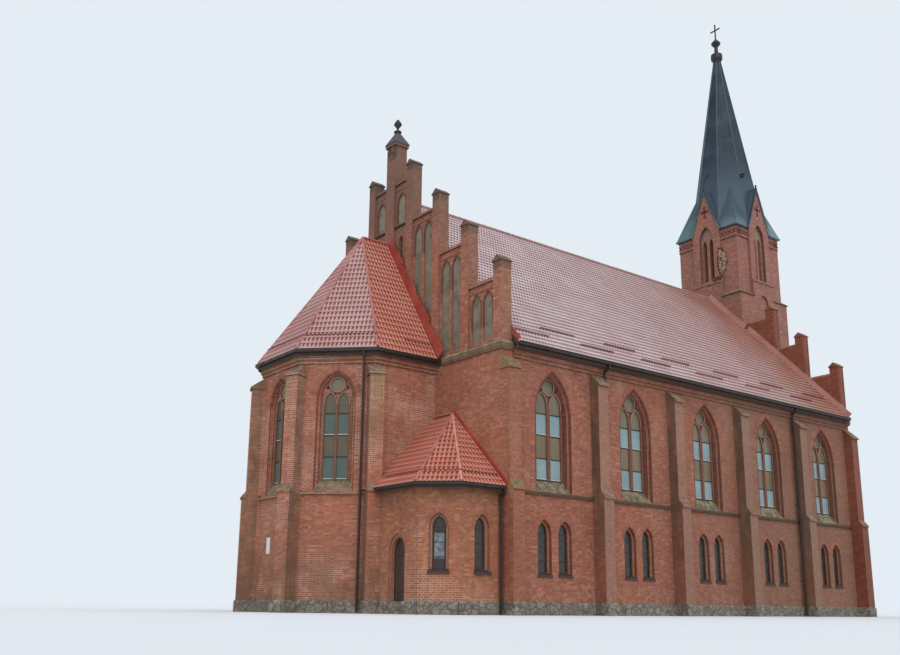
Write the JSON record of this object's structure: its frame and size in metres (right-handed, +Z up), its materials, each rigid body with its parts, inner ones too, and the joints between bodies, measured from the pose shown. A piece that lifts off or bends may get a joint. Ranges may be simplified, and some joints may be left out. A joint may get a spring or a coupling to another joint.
{
  "type": "church building",
  "caption": "Neo-gothic brick church with stepped gables, a polygonal apse, a sacristy with an opening door, and a west tower under an octagonal spire.",
  "frame": {"origin": "middle of the outer box, at ground level under the building", "axes": "+X across the nave to the side with the sacristy, +Y along the nave from the apse to the tower, +Z up"},
  "size_m": [16.74, 33.6492, 38.04],
  "materials": {
    "brick": "rough red brick with pale joints",
    "stone": "rough grey stone",
    "roof_sheet": "satin red pressed sheet in tile form",
    "gutter_metal": "dark satin paint",
    "spire_sheet": "weathered blue-grey sheet with green patina",
    "glass": "leaded panes",
    "timber": "dark stained planks",
    "iron": "dark wrought iron"
  },
  "bodies": {
    "church": {"nave_wall_right_1": "brick", "nave_wall_right_2": "brick", "nave_wall_right_3": "brick", "nave_wall_right_4": "brick", "nave_wall_right_5": "brick", "nave_wall_left_1": "brick", "nave_wall_left_2": "brick", "nave_wall_left_3": "brick", "nave_wall_left_4": "brick", "nave_wall_left_5": "brick", "east_wall": "brick", "east_gable": "brick", "west_wall_right": "brick", "west_wall_left": "brick", "nave_roof": "roof_sheet", "nave_gutter_right": "gutter_metal", "nave_gutter_left": "gutter_metal", "nave_glass_upper_right": "glass", "nave_glass_lower_right": "glass", "nave_glass_upper_left": "glass", "nave_glass_lower_left": "glass", "apse_wall_side_right": "brick", "apse_wall_diagonal_right": "brick", "apse_wall_end": "brick", "apse_wall_diagonal_left": "brick", "apse_wall_side_left": "brick", "apse_buttress_right": "brick", "apse_buttress_end_right": "brick", "apse_buttress_end_left": "brick", "apse_buttress_left": "brick", "apse_roof": "roof_sheet", "apse_gutter": "gutter_metal", "apse_glass": "glass", "annex_wall_beside_door": "brick", "annex_wall_over_door": "brick", "annex_wall_corner": "brick", "annex_door_frame": "brick", "annex_hinge_pin_lower": "iron", "annex_hinge_pin_upper": "iron", "annex_roof": "roof_sheet", "annex_gutter": "gutter_metal", "annex_glass": "glass", "annex_floor": "stone", "main_floor": "stone", "tower_wall_east": "brick", "tower_wall_west": "brick", "tower_wall_right": "brick", "tower_wall_left": "brick", "tower_coping": "stone", "west_door": "timber", "west_glass": "glass", "belfry_wall_east": "brick", "belfry_wall_west": "brick", "belfry_wall_right": "brick", "belfry_wall_left": "brick", "spire": "spire_sheet", "spire_finial": "iron"},
    "annex_door": {"annex_door": "timber"}
  },
  "joints": [
    {"name": "annex_door_swing", "type": "hinge", "parent": "church", "child": "annex_door", "pos_m": [4.92, -13.67244, 1.4], "axis": [0, 0, 1], "range_deg": [0, 95]}
  ]
}
